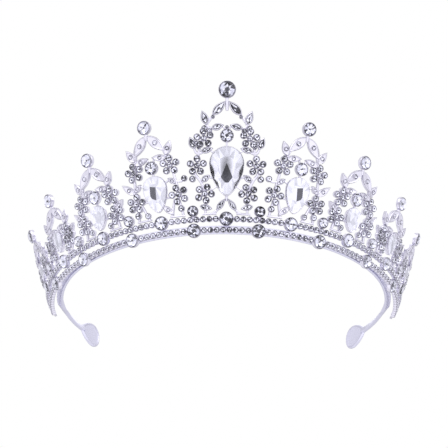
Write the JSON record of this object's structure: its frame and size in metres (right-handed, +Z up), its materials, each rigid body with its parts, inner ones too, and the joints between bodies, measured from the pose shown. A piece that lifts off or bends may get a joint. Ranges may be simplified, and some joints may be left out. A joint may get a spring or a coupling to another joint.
{
  "type": "rhinestone tiara",
  "caption": "Curved metal tiara of filigree spires, graduated in height, set with pear and round crystals on a sprung open headband.",
  "frame": {"origin": "middle of the footprint, on the plane that the lowest point of the end paddles touches", "axes": "+Z up out of the headband, -Y the way the wearer faces, +X to the right as seen from the front. Left and right in node names are as seen from the front"},
  "size_m": [0.1686, 0.1346, 0.0591],
  "materials": {
    "silver_plate": "polished silver plate over cast alloy",
    "band_steel": "plated spring steel",
    "crystal": "faceted, foil-backed glass"
  },
  "bodies": {
    "root": {"between_crystal_left_inner": "crystal", "between_crystal_left_outer": "crystal", "between_crystal_left_second": "crystal", "between_crystal_left_third": "crystal", "between_crystal_right_inner": "crystal", "between_crystal_right_outer": "crystal", "between_crystal_right_second": "crystal", "between_crystal_right_third": "crystal", "drop_crystal_centre": "crystal", "drop_crystal_left_inner": "crystal", "drop_crystal_left_second": "crystal", "drop_crystal_right_inner": "crystal", "drop_crystal_right_second": "crystal", "finial_crystal_centre": "crystal", "finial_crystal_left_inner": "crystal", "finial_crystal_left_outer": "crystal", "finial_crystal_left_second": "crystal", "finial_crystal_left_third": "crystal", "finial_crystal_right_inner": "crystal", "finial_crystal_right_outer": "crystal", "finial_crystal_right_second": "crystal", "finial_crystal_right_third": "crystal", "headband": "band_steel", "lower_rail": "silver_plate", "lower_rail_crystal_left_inner": "crystal", "lower_rail_crystal_left_outer": "crystal", "lower_rail_crystal_left_second": "crystal", "lower_rail_crystal_left_third": "crystal", "lower_rail_crystal_right_inner": "crystal", "lower_rail_crystal_right_outer": "crystal", "lower_rail_crystal_right_second": "crystal", "lower_rail_crystal_right_third": "crystal", "pear_crystal_centre": "crystal", "pear_crystal_left_inner": "crystal", "pear_crystal_left_outer": "crystal", "pear_crystal_left_second": "crystal", "pear_crystal_left_third": "crystal", "pear_crystal_right_inner": "crystal", "pear_crystal_right_outer": "crystal", "pear_crystal_right_second": "crystal", "pear_crystal_right_third": "crystal", "spire_centre": "silver_plate", "spire_left_inner": "silver_plate", "spire_left_outer": "silver_plate", "spire_left_second": "silver_plate", "spire_left_third": "silver_plate", "spire_right_inner": "silver_plate", "spire_right_outer": "silver_plate", "spire_right_second": "silver_plate", "spire_right_third": "silver_plate", "upper_rail": "silver_plate", "upper_rail_crystal_centre": "crystal", "upper_rail_crystal_left_inner": "crystal", "upper_rail_crystal_left_outer": "crystal", "upper_rail_crystal_left_second": "crystal", "upper_rail_crystal_left_third": "crystal", "upper_rail_crystal_right_inner": "crystal", "upper_rail_crystal_right_outer": "crystal", "upper_rail_crystal_right_second": "crystal", "upper_rail_crystal_right_third": "crystal"}
  },
  "joints": []
}
